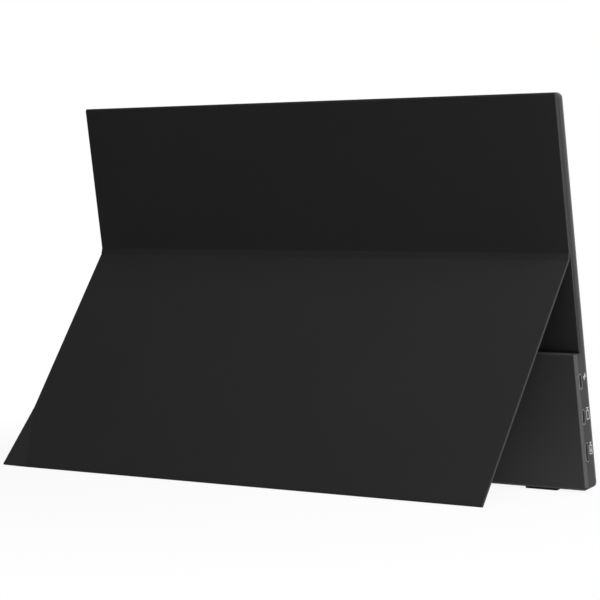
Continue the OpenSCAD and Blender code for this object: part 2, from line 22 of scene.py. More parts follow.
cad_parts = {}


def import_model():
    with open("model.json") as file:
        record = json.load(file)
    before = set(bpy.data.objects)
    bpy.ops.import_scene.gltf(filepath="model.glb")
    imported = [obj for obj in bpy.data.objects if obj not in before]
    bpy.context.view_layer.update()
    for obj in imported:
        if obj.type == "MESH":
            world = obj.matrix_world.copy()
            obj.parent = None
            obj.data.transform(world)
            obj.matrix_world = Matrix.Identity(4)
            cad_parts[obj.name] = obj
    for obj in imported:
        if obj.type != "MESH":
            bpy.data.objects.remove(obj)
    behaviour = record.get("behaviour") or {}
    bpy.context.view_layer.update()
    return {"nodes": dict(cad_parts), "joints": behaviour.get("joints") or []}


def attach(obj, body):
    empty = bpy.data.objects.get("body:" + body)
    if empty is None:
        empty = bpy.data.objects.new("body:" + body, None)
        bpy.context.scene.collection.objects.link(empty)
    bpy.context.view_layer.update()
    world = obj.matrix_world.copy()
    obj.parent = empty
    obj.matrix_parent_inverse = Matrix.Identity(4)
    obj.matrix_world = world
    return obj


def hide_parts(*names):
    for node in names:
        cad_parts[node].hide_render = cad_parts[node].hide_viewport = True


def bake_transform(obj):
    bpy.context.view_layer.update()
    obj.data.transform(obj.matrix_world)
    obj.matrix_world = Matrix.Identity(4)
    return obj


log = logging.getLogger("monitor")
MM = 0.001
Socket = bpy.types.NodeSocket
Warp = Callable[[float, float], Vector]


def linear(hex_colour: str) -> tuple[float, float, float, float]:
    """Turns an sRGB hex value into a linear colour.

    Args:
        hex_colour: six digits after a hash.

    Returns:
        Red, green, blue and an alpha of 1.
    """
    parts = [int(hex_colour[i : i + 2], 16) / 255 for i in (1, 3, 5)]
    curve = [p / 12.92 if p <= 0.04045 else ((p + 0.055) / 1.055) ** 2.4 for p in parts]
    return (curve[0], curve[1], curve[2], 1.0)


def add_node(
    tree: bpy.types.NodeTree,
    kind: str,
    settings: dict[str, Any] | None = None,
    inputs: dict[str | int, Any] | None = None,
) -> bpy.types.Node:
    """Adds one node with its settings, its input values and its links.

    Args:
        tree: the node tree it goes into.
        kind: the node's type name.
        settings: properties to set on it.
        inputs: a value, or the socket to link from, for each input.

    Returns:
        The new node.
    """
    node = tree.nodes.new(kind)
    for name, value in (settings or {}).items():
        setattr(node, name, value)
    for name, value in (inputs or {}).items():
        if isinstance(value, Socket):
            tree.links.new(value, node.inputs[name])
        else:
            node.inputs[name].default_value = value
    return node


def math_node(tree: bpy.types.NodeTree, operation: str, a: Any, b: Any = 0.0) -> Socket:
    """Adds a Math node on two values or sockets and returns its result."""
    node = add_node(tree, "ShaderNodeMath", {"operation": operation}, {0: a, 1: b})
    return node.outputs[0]


class Pattern(Enum):
    """How the fine relief of a surface is laid out."""

    GRIT = "grit"
    PEBBLE = "pebble"
    BRUSHED = "brushed"
    SUEDE = "suede"


@dataclass(frozen=True)
class Finish:
    """One material: what it is, its colours as sRGB hex and its relief in millimetres."""

    title: str
    base: str
    shade: str
    roughness: float
    specular: float = 0.5
    metallic: float = 0.0
    grain: float = 0.4
    relief: float = 0.01
    patch: float = 45.0
    spread: float = 0.05
    pattern: Pattern = Pattern.GRIT

    def height(self, tree: bpy.types.NodeTree, place: Socket) -> Socket:
        """Makes the height of the fine relief.

        Args:
            tree: the material's node tree.
            place: the object coordinates.

        Returns:
            The socket that holds the height from 0 to 1.
        """
        per_metre = 1 / (self.grain * MM)
        if self.pattern is Pattern.PEBBLE:
            # Pebbles with fine pores between them, as an embossing roller leaves them
            cells = add_node(
                tree,
                "ShaderNodeTexVoronoi",
                {"feature": "SMOOTH_F1"},
                {"Vector": place, "Scale": per_metre, "Smoothness": 0.6},
            )
            pores = add_node(
                tree,
                "ShaderNodeTexNoise",
                None,
                {"Vector": place, "Scale": per_metre * 2.3, "Detail": 2.0},
            )
            return math_node(
                tree, "SUBTRACT", math_node(tree, "MULTIPLY", pores.outputs[0], 0.5), cells.outputs[0]
            )
        stretch = {Pattern.BRUSHED: (0.04, 1, 1), Pattern.SUEDE: (1, 1, 0.45)}
        scaled = add_node(
            tree,
            "ShaderNodeMapping",
            None,
            {"Vector": place, "Scale": stretch.get(self.pattern, (1, 1, 1))},
        )
        noise = add_node(
            tree,
            "ShaderNodeTexNoise",
            None,
            {"Vector": scaled.outputs[0], "Scale": per_metre, "Detail": 3.0, "Roughness": 0.6},
        )
        return noise.outputs[0]

    def colour(self, tree: bpy.types.NodeTree, place: Socket, height: Socket) -> Socket:
        """Mixes the two colours in wide soft patches and a little in the relief."""
        patches = add_node(
            tree,
            "ShaderNodeTexNoise",
            None,
            {"Vector": place, "Scale": 1 / (self.patch * MM), "Detail": 2.0},
        )
        blend = math_node(
            tree, "ADD", math_node(tree, "MULTIPLY", patches.outputs[0], 0.7),
            math_node(tree, "MULTIPLY", height, 0.3),
        )
        mix = add_node(
            tree,
            "ShaderNodeMix",
            {"data_type": "RGBA"},
            {0: blend, 6: linear(self.base), 7: linear(self.shade)},
        )
        return mix.outputs[2]

    def build(self) -> bpy.types.Material:
        """Builds the material, or returns it if it is there already."""
        if self.title in bpy.data.materials:
            return bpy.data.materials[self.title]
        material = bpy.data.materials.new(self.title)
        material.use_nodes = True
        tree = material.node_tree
        shader = tree.nodes["Principled BSDF"]
        place = add_node(tree, "ShaderNodeTexCoord").outputs["Object"]
        height = self.height(tree, place)
        rough = add_node(
            tree,
            "ShaderNodeMapRange",
            None,
            {
                "Value": height,
                "To Min": self.roughness - self.spread,
                "To Max": self.roughness + self.spread,
            },
        )
        bump = add_node(
            tree,
            "ShaderNodeBump",
            None,
            {"Height": height, "Distance": self.relief * MM, "Strength": 1.0},
        )
        tree.links.new(self.colour(tree, place, height), shader.inputs["Base Color"])
        tree.links.new(rough.outputs[0], shader.inputs["Roughness"])
        tree.links.new(bump.outputs[0], shader.inputs["Normal"])
        shader.inputs["Metallic"].default_value = self.metallic
        shader.inputs["Specular IOR Level"].default_value = self.specular
        return material


Limit = tuple[tuple[float, float, float], float, float]


@dataclass(frozen=True)
class BandedFinish(Finish):
    """A finish with blocks of another colour, each inside limits along some directions."""

    inside: str = "#000000"
    blocks: tuple[tuple[Limit, ...], ...] = ()

    def colour(self, tree: bpy.types.NodeTree, place: Socket, height: Socket) -> Socket:
        """Lays the other colour over the plain one wherever a place is within a block."""
        plain = super().colour(tree, place, height)
        mask: Any = 0.0
        for block in self.blocks:
            within: Any = 1.0
            for axis, low, high in block:
                along = add_node(
                    tree, "ShaderNodeVectorMath", {"operation": "DOT_PRODUCT"}, {0: place, 1: axis}
                ).outputs["Value"]
                above = math_node(tree, "GREATER_THAN", along, low)
                below = math_node(tree, "LESS_THAN", along, high)
                within = math_node(tree, "MULTIPLY", within, math_node(tree, "MULTIPLY", above, below))
            mask = math_node(tree, "MAXIMUM", mask, within)
        mix = add_node(
            tree, "ShaderNodeMix", {"data_type": "RGBA"}, {0: mask, 6: plain, 7: linear(self.inside)}
        )
        return mix.outputs[2]


# Sprayed and baked shell: satin, with a fine grit that softens every highlight
SHELL = Finish("painted_shell", "#434343", "#3e3e3e", 0.45, 0.1, grain=0.25, relief=0.004)
# Painted highlight: the same paint made paler along the bevels, standing in for the lamps' reflection
# there
PAINTED_BEVEL_HIGHLIGHT = "#606061"
# Moulded ABS frame: a little lighter and smoother than the shell
BEZEL = Finish("moulded_frame", "#626263", "#5c5c5e", 0.45, 0.2, grain=0.3, relief=0.004)
# Soft-touch lining of the cover: a short nap that takes the light evenly
LINING = Finish(
    "soft_touch_lining", "#2e2e2e", "#2a2a2a", 0.75, 0.04, grain=0.35, relief=0.02,
    patch=70, pattern=Pattern.SUEDE,
)
# Embossed synthetic leather: small pebbles with a low sheen
LEATHER = Finish(
    "embossed_leather", "#2a2a2a", "#232323", 0.62, 0.1, grain=0.9, relief=0.035,
    patch=60, pattern=Pattern.PEBBLE,
)
# Cut and burnished edge of the sheets: paler where the blade has passed
CUT_EDGE = Finish("cut_edge", "#434344", "#38383a", 0.6, 0.15, grain=0.3, relief=0.01, patch=15)
# Moulded rubber: dull and nearly black
RUBBER = Finish("moulded_rubber", "#101011", "#0c0c0d", 0.8, 0.25, grain=0.3, relief=0.01)
# Injection-moulded black plastic of sockets, speakers and buttons
PLASTIC = Finish("black_moulding", "#1a1a1c", "#151517", 0.5, 0.4, grain=0.3, relief=0.005)
# Plated sheet steel, rolled: fine lines along the sheet
PLATED = Finish(
    "plated_steel", "#b9bbbe", "#a2a4a8", 0.32, 0.5, 1.0, grain=0.3, relief=0.003,
    pattern=Pattern.BRUSHED,
)
# Gold flash on spring contacts
GOLD = Finish("gold_flash", "#d9b25f", "#c39a45", 0.28, 0.5, 1.0, grain=0.2, relief=0.002)
# Solder mask over fibreglass
MASK = Finish("solder_mask", "#1c4a2e", "#173d26", 0.35, 0.5, grain=0.8, relief=0.006, patch=12)
# Epoxy bodies of chips and coils
EPOXY = Finish("chip_epoxy", "#1b1b1d", "#141416", 0.55, 0.4, grain=0.2, relief=0.004, patch=5)
# Polyimide film over copper tracks
FLEX = Finish("polyimide_flex", "#a8682a", "#8d5420", 0.35, 0.5, grain=0.4, relief=0.004, patch=8)
# White diffusing film and the reflector behind it
FILM = Finish("diffusing_film", "#dfe1e2", "#d2d5d7", 0.5, 0.4, grain=0.2, relief=0.002)
# Extruded clear acrylic with printed dots, seen as a milky sheet
ACRYLIC = Finish("acrylic_sheet", "#dfe6ea", "#d3dbe0", 0.2, 0.5, grain=0.6, relief=0.002)
# Closed-cell foam tape
FOAM = Finish("foam_tape", "#1f1f20", "#171718", 0.9, 0.2, grain=0.5, relief=0.04, patch=6)
# Pressed grey fibre board
BOARD = Finish("fibre_board", "#4a4540", "#3e3a36", 0.85, 0.3, grain=0.6, relief=0.03, patch=10)
# Nickel-plated magnets
NICKEL = Finish("nickel_plate", "#9a9ca0", "#85878b", 0.3, 0.5, 1.0, grain=0.4, relief=0.003)
# White pad-printed ink
INK = Finish("white_ink", "#dedfe0", "#d2d3d4", 0.5, 0.4, grain=0.15, relief=0.002, patch=4)


class Plane:
    """A sheet's own frame: a point, the way out of its back face and the way up along it."""

    def __init__(self, origin: Vector, out: Vector, up: Vector) -> None:
        """Keeps the frame's point in metres and its two directions."""
        self.origin, self.out, self.up = origin, out, up

    def at(self, x: float, t: float, s: float) -> Vector:
        """Gives the place in metres of a point in millimetres of this frame."""
        return self.origin + (Vector((x, 0, 0)) + self.out * t + self.up * s) * MM

    def turned(self, t: float, s: float, degrees: float) -> Plane:
        """Gives the frame at a fold, turned about the axis across.

        Args:
            t: distance of the fold out of this frame's face.
            s: height of the fold in this frame.
            degrees: the turn that swings a hanging sheet out of the back.

        Returns:
            The new frame.
        """
        c, k = math.cos(math.radians(degrees)), math.sin(math.radians(degrees))
        return Plane(self.at(0, t, s), self.out * c + self.up * k, self.up * c - self.out * k)


def make_object(
    name: str, mesh: bpy.types.Mesh, finishes: Sequence[Finish], smooth: float = 40
) -> bpy.types.Object:
    """Links a mesh to the scene with its finishes and smooth shading below an angle."""
    piece = bpy.data.objects.new(name, mesh)
    bpy.context.scene.collection.objects.link(piece)
    for finish in finishes:
        mesh.materials.append(finish.build())
    mesh.shade_smooth()
    mesh.set_sharp_from_angle(angle=math.radians(smooth))
    return piece


def mesh_of(name: str, points: Sequence[Vector], faces: Sequence[Sequence[int]]) -> bpy.types.Mesh:
    """Makes a mesh whose faces all point outwards."""
    mesh = bpy.data.meshes.new(name)
    mesh.from_pydata([tuple(p) for p in points], [], [tuple(f) for f in faces])
    edit = bmesh.new()
    edit.from_mesh(mesh)
    bmesh.ops.recalc_face_normals(edit, faces=edit.faces)
    edit.to_mesh(mesh)
    edit.free()
    return mesh


@dataclass
class Pad:
    """A flat pad with rounded edges, laid out in its own frame, in millimetres."""

    name: str
    plane: Plane
    width: float
    low: float
    high: float
    height: float
    edge: float = 0.45
    columns: int = 10
    rows: int = 4
    arc: int = 8

    def steps(self, low: float, high: float, count: int) -> list[float]:
        """Spaces the grid lines, with one close to each edge."""
        near = min(1.0, (high - low) / 8)
        inside = [low + near + (high - low - 2 * near) * i / count for i in range(count + 1)]
        return [low, *inside, high]

    def build(self, finish: Finish) -> bpy.types.Object:
        """Builds the closed pad.

        Args:
            finish: its finish.

        Returns:
            The new object.
        """
        half = self.width / 2 - self.edge
        xs = self.steps(-half, half, self.columns)
        ss = self.steps(self.low + self.edge, self.high - self.edge, self.rows)
        points: list[Vector] = []
        faces: list[tuple[int, ...]] = []

        def place(x: float, t: float, s: float) -> int:
            points.append(self.plane.at(x, t, s))
            return len(points) - 1

        def rim(rows: list[list[int]]) -> list[int]:
            right = [row[-1] for row in rows[1:-1]]
            left = [row[0] for row in rows[1:-1]]
            return rows[0] + right + rows[-1][::-1] + left[::-1]

        top, under = ([[place(x, t, s) for x in xs] for s in ss] for t in (self.height, 0.0))
        for rows in (top, under):
            for j in range(len(ss) - 1):
                for i in range(len(xs) - 1):
                    faces.append((rows[j][i], rows[j][i + 1], rows[j + 1][i + 1], rows[j + 1][i]))
        corners = [(x, ss[0]) for x in xs] + [(xs[-1], s) for s in ss[1:-1]]
        corners += [(x, ss[-1]) for x in xs[::-1]] + [(xs[0], s) for s in ss[1:-1][::-1]]
        loops = [rim(top)]
        middle = self.height / 2
        for k in range(1, self.arc):
            turn = math.pi * k / self.arc
            # A flattened round, so that the edge has a face between its two soft corners
            reach = self.edge * math.sin(turn) ** 0.5
            t = middle + middle * math.cos(turn)
            loop = []
            for x, s in corners:
                dx = reach if x == xs[-1] else -reach if x == xs[0] else 0
                ds = reach if s == ss[-1] else -reach if s == ss[0] else 0
                loop.append(place(x + dx, t, s + ds))
            loops.append(loop)
        loops.append(rim(under))
        for a, b in zip(loops, loops[1:]):
            for i in range(len(a)):
                j = (i + 1) % len(a)
                faces.append((a[i], a[j], b[j], b[i]))
        return make_object(self.name, mesh_of(self.name, points, faces), [finish])


@dataclass(frozen=True)
class Station:
    """A cut through the cover's sheet: its leather face, its soft face and its place along it."""

    leather: Vector
    soft: Vector
    run: float = 0.0

    def between(self, share: float) -> Vector:
        """Gives the point at a share of the way from the leather face to the soft face."""
        return self.leather.lerp(self.soft, share)


@dataclass
class Layer:
    """A closed layer of the sheet that follows its stations across the whole cover."""

    name: str
    stations: Sequence[Station]
    inner: float
    outer: float
    width: float
    columns: Sequence[float] = ()
    edge: float = 0.22
    warp: Warp | None = None

    def rings(self) -> list[tuple[float, float]]:
        """Gives each ring's place across and the share of the thickness that it keeps."""
        half = self.width / 2
        ends = [(half, 0.62), (half - 0.35 * self.edge, 0.88), (half - self.edge, 1.0)]
        plain = [half * k / 10 for k in range(-9, 10)]
        inside = [(x, 1.0) for x in self.columns or plain if abs(x) < half - 2 * self.edge]
        return [(-x, kept) for x, kept in ends] + inside + ends[::-1]

    def build(self, finishes: Sequence[Finish]) -> bpy.types.Object:
        """Builds the layer, with the cut edge along both sides in the second finish.

        Args:
            finishes: the finish of its faces, then that of its side edges.

        Returns:
            The new object.
        """
        points: list[Vector] = []
        rings, middle = self.rings(), (self.inner + self.outer) / 2
        for x, kept in rings:
            low, high = (middle + (face - middle) * kept for face in (self.inner, self.outer))
            loop = [(station, low) for station in self.stations]
            loop += [(station, high) for station in reversed(self.stations)]
            for station, share in loop:
                bent = self.warp(x, station.run) if self.warp else Vector((0, 0, 0))
                points.append(station.between(share) + (Vector((x, 0, 0)) + bent) * MM)
        count, last = len(self.stations), len(rings) - 1
        size = 2 * count
        faces: list[tuple[int, ...]] = []
        edges: list[bool] = []
        for k in range(last):
            a, b = k * size, (k + 1) * size
            for i in range(size):
                j = (i + 1) % size
                faces.append((a + i, a + j, b + j, b + i))
                edges.append(k in (0, 1, last - 2, last - 1))
        for a in (0, last * size):
            for i in range(count - 1):
                faces.append((a + i, a + i + 1, a + size - 2 - i, a + size - 1 - i))
                edges.append(True)
        mesh = mesh_of(self.name, points, faces)
        piece = make_object(self.name, mesh, finishes)
        for face, cut in zip(mesh.polygons, edges):
            face.material_index = 1 if cut and len(finishes) > 1 else 0
        return piece


@dataclass
class Cover:
    """The folding cover: one sheet up the monitor's back, over its top, down again and out."""

    device: Plane
    top: tuple[float, float] = (1.35, 225.35)
    rear: tuple[float, float] = (2.65, 224.15)
    front: tuple[float, float] = (2.75, 218.79)
    upper: tuple[float, float] = (2.05, 136.39)
    flap_fold: tuple[float, float] = (3.64831, 132.291)
    fold_angle: float = 42.6
    crease: float = 4.4
    width: float = 356.0
    base_low: float = 80.0
    base_face: float = 0.1
    sheet: float = 1.3
    lining: float = 0.25
    flap: float = 154.759
    gap: float = 0.05
    soft_end: float = 0.3
    nose_core: float = 0.4
    nose_steps: int = 18
    spine_bend: float = 0.3
    leg_bend: float = 0.4
    spine_tail: float = 3.0
    leg_tail: float = 3.5
    bent_corner: tuple[float, float] = (15.4, 41.5)
    bent_by: tuple[float, float] = (5.2, 0.9)

    def corner_warp(self, x: float, run: float) -> Vector:
        """Bends the flap's corner away from the sockets outwards, beyond a slanted line."""
        across, along = self.bent_corner
        reach = max(0.0, 1 - (self.width / 2 - x) / across - (self.flap - run) / along)
        return Vector((0, self.bent_by[0] * reach, self.bent_by[1] * reach))

    def lay(self, plane: Plane, spots: Sequence[float]) -> list[Station]:
        """Lays stations down a flat part of the sheet.

        Args:
            plane: a frame on the sheet's middle, whose way out is its soft face's.
            spots: distances down from the frame's point, in millimetres.

        Returns:
            The stations in order.
        """
        half = self.sheet / 2
        return [Station(plane.at(0, -half, -d), plane.at(0, half, -d), d) for d in spots]

    def mitre(self, before: Plane, after: Plane) -> Station:
        """Gives the station on a fold, where the two flat parts meet."""
        half = self.sheet / 2
        one, two = (
            (plane.at(0, half, 0) - plane.at(0, 0, 0)).normalized() for plane in (before, after)
        )
        way = (one + two).normalized()
        reach = half * MM / way.dot(one)
        middle = after.at(0, 0, 0)
        return Station(middle - way * reach, middle + way * reach)

    def round_end(self, stations: Sequence[Station]) -> list[Station]:
        """Adds the softened free edge beyond the last station."""
        last, before = stations[-1], stations[-2]
        way = (last.between(0.5) - before.between(0.5)).normalized() * MM * self.soft_end
        ends = [
            Station(last.between(cut) + way * out, last.between(1 - cut) + way * out, last.run + run)
            for cut, out, run in ((0.06, 0.65, 0.0), (0.19, 1.0, self.soft_end))
        ]
        return [*stations, *ends]

    def span(
        self, name: str, bodies: Sequence[str], stations: Sequence[Station],
        stands_for: tuple[str, str] | None = None, bend: tuple[Vector, Vector] | None = None,
        columns: Sequence[float] = (), warp: Warp | None = None,
    ) -> None:
        """Makes a stretch of the sheet as leather and a soft face that lie on each other.

        Args:
            name: the stretch's name.
            bodies: the body that it rides on, or the two that it lies between, which are only logged.
            stations: its stations.
            stands_for: the solids that its leather and its soft face stand for.
            bend: where the turn between two bodies starts and ends; when given, the stretch stays in
                place and rides on no body.
            columns: places of the rings across.
            warp: how it is bent from flat.
        """
        seam = 1 - self.lining / self.sheet
        layers = (
            ("leather", 0.0, seam, LEATHER, "cover_skin"),
            ("soft_face", seam, 1.0, LINING, "cover_lining"),
        )
        for row, (part, inner, outer, finish, slot) in enumerate(layers):
            layer = Layer(f"{name}_{part}", stations, inner, outer, self.width, columns, warp=warp)
            piece = layer.build([finish, CUT_EDGE])
            if bend:
                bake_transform(piece)
            else:
                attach(piece, bodies[0])
            if stands_for:
                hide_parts(stands_for[row])
            log.info("made %s on %s", piece.name, " and ".join(bodies))

    def folded(self, s: float) -> Plane:
        """Gives the frame on the middle of the sheet that hangs behind the base panel."""
        return Plane(self.device.at(0, self.upper[0], s), self.device.out, self.device.up)

    def base(self) -> None:
        """Makes the panel that lies on the monitor's back, soft face inwards."""
        t, s = self.top
        length = s - self.base_low - self.soft_end
        middle = Plane(
            self.device.at(0, (self.base_face + t - self.gap) / 2, s), -self.device.out, self.device.up
        )
        half = (t - self.gap - self.base_face) / 2
        spots = [0.0, 3.0, *(length * k / 8 for k in range(1, 8)), length - 1.0, length]
        stations = [Station(middle.at(0, -half, -d), middle.at(0, half, -d), d) for d in spots]
        stations = self.round_end(stations)
        self.span("base", ("cover_base",), stations, ("base_skin", "base_lining"))

    def nose(self) -> None:
        """Makes the soft round fold over the monitor's top edge."""
        t, s = self.top
        stations = []
        axis = self.device.at(0, t, s)
        for k in range(self.nose_steps + 1):
            turn = math.pi * k / self.nose_steps
            reach = t - self.base_face + 2 * self.gap * k / self.nose_steps
            way = (self.device.up * math.sin(turn) - self.device.out * math.cos(turn)) * MM
            stations.append(Station(axis + way * self.nose_core, axis + way * reach))
        piece = Layer("top_fold", stations, 0.0, 1.0, self.width).build([LINING, CUT_EDGE])
        tuple(self.device.at(0, t - 0.5, s))
        tuple(self.device.at(0, t + 0.5, s))
        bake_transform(piece)
        log.info("made %s on cover_base and spine_rear", piece.name)

    def spine(self) -> None:
        """Makes the two narrow strips of the spine, with rows close together where their folds lie."""
        top_s, middle_s = self.top[1], (self.rear[1] + self.front[1]) / 2
        low_s = self.front[1] - self.spine_tail
        for name, bodies, start, fold, end, strip in (
            ("rear_strip", ("spine_rear", "spine_top"), top_s, self.rear, middle_s, "spine_rear_strip"),
            ("top_strip", ("spine_top", "cover_upper"), middle_s, self.front, low_s, "spine_top_strip"),
        ):
            near_fold = (fold[1] + k * self.spine_bend for k in (3, 1, 0, -1, -3))
            cuts = [start, *(cut for cut in near_fold if cut < start - 0.1), end]
            bend = tuple(self.device.at(0, fold[0], fold[1] + k * self.spine_bend) for k in (1, -1))
            plane = self.folded(start)
            stations = self.lay(plane, [start - cut for cut in cuts])
            self.span(name, bodies, stations, None, bend)
            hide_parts(strip)

    def legs(self) -> None:
        """Makes the panel behind the base, the crease and the flap that stands on the table."""
        start, low = self.front[1] - self.spine_tail, self.leg_tail
        hang = self.folded(start)
        length = start - self.upper[1] - low
        spots = [length * k / 8 for k in range(9)]
        self.span("upper", ("cover_upper",), self.lay(hang, spots), ("upper_skin", "upper_lining"))
        above = self.folded(self.upper[1])
        band = self.device.turned(*self.upper, self.fold_angle / 2)
        band_end = Plane(band.at(0, 0, -self.crease), band.out, band.up)
        flap = self.device.turned(*self.flap_fold, self.fold_angle)
        half = self.crease / 2
        stations = [
            *self.lay(above, (-low, -1.6, -0.6)), self.mitre(above, band),
            *self.lay(band, (0.6, 1.4, half)),
        ]
        self.span(
            "upper_crease", ("cover_upper", "stand_crease"), stations, None,
            (above.at(0, 0, self.leg_bend), band.at(0, 0, -self.leg_bend)),
        )
        stations = [
            *self.lay(band, (half, self.crease - 1.4, self.crease - 0.6)),
            self.mitre(band_end, flap), *self.lay(flap, (0.6, 1.6, low)),
        ]
        self.span(
            "lower_crease", ("stand_crease", "stand_flap"), stations, None,
            (band.at(0, 0, self.leg_bend - self.crease), flap.at(0, 0, -self.leg_bend)),
        )
        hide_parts("crease_strip")
        self.stand(flap)

    def stand(self, flap: Plane) -> None:
        """Makes the flap with its bent corner and the board inside it.

        Args:
            flap: its frame at the fold.
        """
        low, end, steps = self.leg_tail, self.flap - self.soft_end, 20
        bend_from = self.flap - self.bent_corner[1] - 4
        spots = [low + (bend_from - low) * k / 8 for k in range(8)]
        spots += [bend_from + (end - bend_from) * k / steps for k in range(steps + 1)]
        half = self.width / 2
        near = half - self.bent_corner[0] - 2
        columns = [-half + (half + near) * k / 16 for k in range(1, 16)]
        columns += [near + (half - near) * k / 14 for k in range(14)]
        stations = self.round_end(self.lay(flap, spots))
        self.span(
            "flap", ("stand_flap",), stations, ("flap_skin", "flap_lining"), None, columns,
            self.corner_warp,
        )
        inside = [d for d in spots if low <= d <= self.flap - 2.5]
        core = Layer(
            "flap_core", self.lay(flap, inside), 0.27, 0.75, self.width - 5.2, columns, 0.1,
            self.corner_warp,
        ).build([BOARD])
        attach(core, "stand_flap")
        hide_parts("flap_board")
        log.info("made %s on stand_flap", core.name)

    def build(self) -> None:
        """Builds the whole sheet from the monitor's back to the table."""
        self.base()
        self.nose()
        self.spine()
        self.legs()


@dataclass
class Monitor:
    """The monitor's solids with their finishes, its rubber feet, contacts and marks."""

    device: Plane
    side: float = 178.0
    socket_t: float = 2.2
    mouth: float = 0.1
    mark_t: float = -1.9
    bevel_t: float = 4.35
    sockets: tuple[float, float, float] = (63.0, 42.5, 22.0)
    active: tuple[float, float, float] = (172.1, 26.0, 219.6)
    foot: tuple[float, float, float] = (21.5, 4.4, 1.3)
    foot_x: float = 146.0
    foot_back: float = 4.15

    def offset(self, way: Vector) -> float:
        """Gives how far the device frame's origin lies along a direction, in metres."""
        return self.device.origin.dot(way)

    def dress(self, nodes: dict[str, bpy.types.Object]) -> None:
        """Puts a finish on every solid that stays.

        Args:
            nodes: the solids by name.
        """
        out, up = self.device.out, self.device.up
        half, low, high = self.active
        zero_u, zero_t = self.offset(up), self.offset(out)
        # Anti-glare panel: the lit area is a shade less black than the inked border
        panel = BandedFinish(
            "anti_glare_panel", "#060607", "#050506", 0.28, 0.3, grain=0.12, relief=0.001,
            inside="#0b0c0e",
            blocks=((
                ((1, 0, 0), -half * MM, half * MM), (tuple(up), zero_u + low * MM, zero_u + high * MM),
            ),),
        )
        # Sprayed shell again, with a painted highlight: a little paler along the bevels at its two sides
        bevel = zero_t + (self.side + self.bevel_t - 0.2) * MM
        shell = BandedFinish(
            "shell_painted_bevel_highlight", SHELL.base, SHELL.shade, SHELL.roughness, SHELL.specular,
            grain=SHELL.grain, relief=SHELL.relief, inside=PAINTED_BEVEL_HIGHLIGHT,
            blocks=tuple((((way, out.y, out.z), bevel, 1.0),) for way in (-1, 1)),
        )
        finishes: dict[str, Finish] = {
            "back_tray": SHELL, "lower_housing": shell, "front_bezel": BEZEL,
            "display_cell": panel, "optical_films": FILM, "light_guide": ACRYLIC,
            "reflector": FILM, "panel_tray": PLATED, "led_strip": FLEX, "driver_board": MASK,
            "display_flex": FLEX, "tray_tape": FOAM, "main_board": MASK, "board_chips": EPOXY,
            "board_shield": PLATED, "board_screws": PLATED, "headphone_jack": PLASTIC,
            "button_board": MASK, "speaker_left": PLASTIC, "speaker_right": PLASTIC,
            "closing_magnets": NICKEL, "power_button": PLASTIC, "menu_rocker": PLASTIC,
            "base_board": BOARD, "upper_board": BOARD, "base_magnets": NICKEL,
            "upper_magnets": NICKEL, "flap_magnets": NICKEL,
        }
        tongue = zero_t + self.socket_t * MM
        for name, s, half_tongue in zip(
            ("usb_c_upper", "usb_c_lower", "mini_video_port"), self.sockets, (3.35, 3.35, 3.65)
        ):
            centre = zero_u + s * MM
            # Plated shell round a black tongue, which starts a little behind the mouth; the shell's rim
            # at the mouth carries painted shade
            finishes[name] = BandedFinish(
                f"{name}_shell", "#a9abae", "#96989c", 0.42, 0.5, 0.9, grain=0.3, relief=0.002,
                pattern=Pattern.BRUSHED, inside="#0d0d0e",
                blocks=(
                    (
                        ((1, 0, 0), (-self.side + 1.2) * MM, 0.0),
                        (tuple(out), tongue - 0.37 * MM, tongue + 0.37 * MM),
                        (tuple(up), centre - half_tongue * MM, centre + half_tongue * MM),
                    ),
                    # Painted shade: the shell's rim at the mouth made near-black for the shadow inside
                    # the opening
                    (((1, 0, 0), -self.side * MM, (-self.side + self.mouth + 0.04) * MM),),
                ),
            )
        for name, finish in finishes.items():
            mesh = nodes[name].data
            mesh.materials.clear()
            mesh.materials.append(finish.build())
            log.info("dressed %s in %s", name, finish.title)

    def feet(self) -> None:
        """Makes the two rubber feet with softened edges and a flat sole."""
        length, depth, height = self.foot
        for name, x in (("foot_left", -self.foot_x), ("foot_right", self.foot_x)):
            middle = self.device.at(x, self.foot_back - depth / 2, 0)
            plane = Plane(middle, -self.device.up, self.device.out)
            pad = Pad(f"{name}_pad", plane, length, -depth / 2, depth / 2, height).build(RUBBER)
            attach(pad, "monitor")
            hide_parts(name)
            log.info("made %s", pad.name)

    def contact_tree(self) -> bpy.types.NodeTree:
        """Builds the node tree that lays a row of contact pads along a line."""
        tree = bpy.data.node_groups.new("contact_row", "GeometryNodeTree")
        sockets = tree.interface
        sockets.new_socket("Geometry", in_out="INPUT", socket_type="NodeSocketGeometry")
        sockets.new_socket("Count", in_out="INPUT", socket_type="NodeSocketInt")
        for name in ("First", "Step", "Pad", "Turn"):
            sockets.new_socket(name, in_out="INPUT", socket_type="NodeSocketVector")
        sockets.new_socket("Geometry", in_out="OUTPUT", socket_type="NodeSocketGeometry")
        given = add_node(tree, "NodeGroupInput").outputs
        line = add_node(
            tree, "GeometryNodeMeshLine", {"mode": "OFFSET"},
            {"Count": given["Count"], "Start Location": given["First"], "Offset": given["Step"]},
        )
        pad = add_node(tree, "GeometryNodeMeshCube", None, {"Size": given["Pad"]})
        rows = add_node(
            tree, "GeometryNodeInstanceOnPoints", None,
            {"Points": line.outputs[0], "Instance": pad.outputs[0], "Rotation": given["Turn"]},
        )
        solid = add_node(tree, "GeometryNodeRealizeInstances", None, {0: rows.outputs[0]})
        gilt = add_node(
            tree, "GeometryNodeSetMaterial", None,
            {"Geometry": solid.outputs[0], "Material": GOLD.build()},
        )
        add_node(tree, "NodeGroupOutput", None, {0: gilt.outputs[0]})
        return tree

